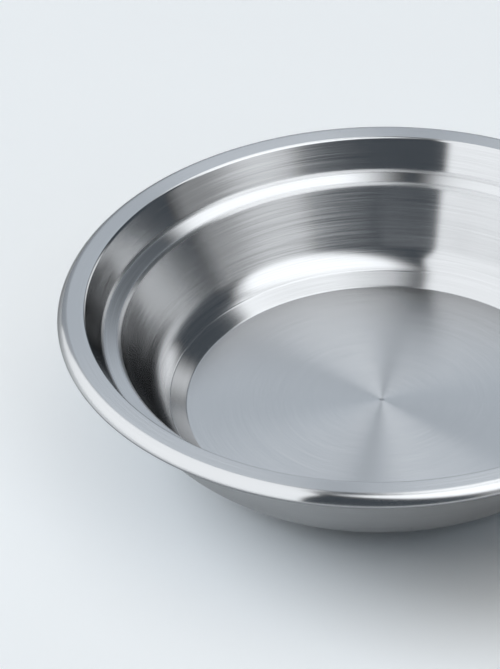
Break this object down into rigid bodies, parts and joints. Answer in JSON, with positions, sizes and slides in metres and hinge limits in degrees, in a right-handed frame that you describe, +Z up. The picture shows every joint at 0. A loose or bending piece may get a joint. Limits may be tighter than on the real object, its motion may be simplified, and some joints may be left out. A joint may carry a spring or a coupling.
{
  "type": "hot water plate",
  "caption": "Round brushed-steel hot water plate: a stepped food dish with a rolled rim that lifts out of an outer pan of hot water.",
  "frame": {"origin": "on the table, under the centre of the plate", "axes": "+Z up along the plate's axis; the plate is the same all round"},
  "size_m": [0.23, 0.23, 0.0522],
  "materials": {
    "dish_steel": "turned brush marks all round, polished bead and step",
    "wire_steel": "drawn wire",
    "gasket_silicone": "matt moulded silicone",
    "pan_steel": "fine turned satin",
    "foot_silicone": "matt moulded silicone"
  },
  "bodies": {
    "pan": {"water_pan": "pan_steel", "rim_gasket": "gasket_silicone", "foot_ring": "foot_silicone"},
    "dish": {"food_dish": "dish_steel", "rim_wire": "wire_steel"}
  },
  "joints": [
    {"name": "dish_lift", "type": "slide", "parent": "pan", "child": "dish", "axis": [0, 0, 1], "range_m": [0, 0.07]}
  ]
}
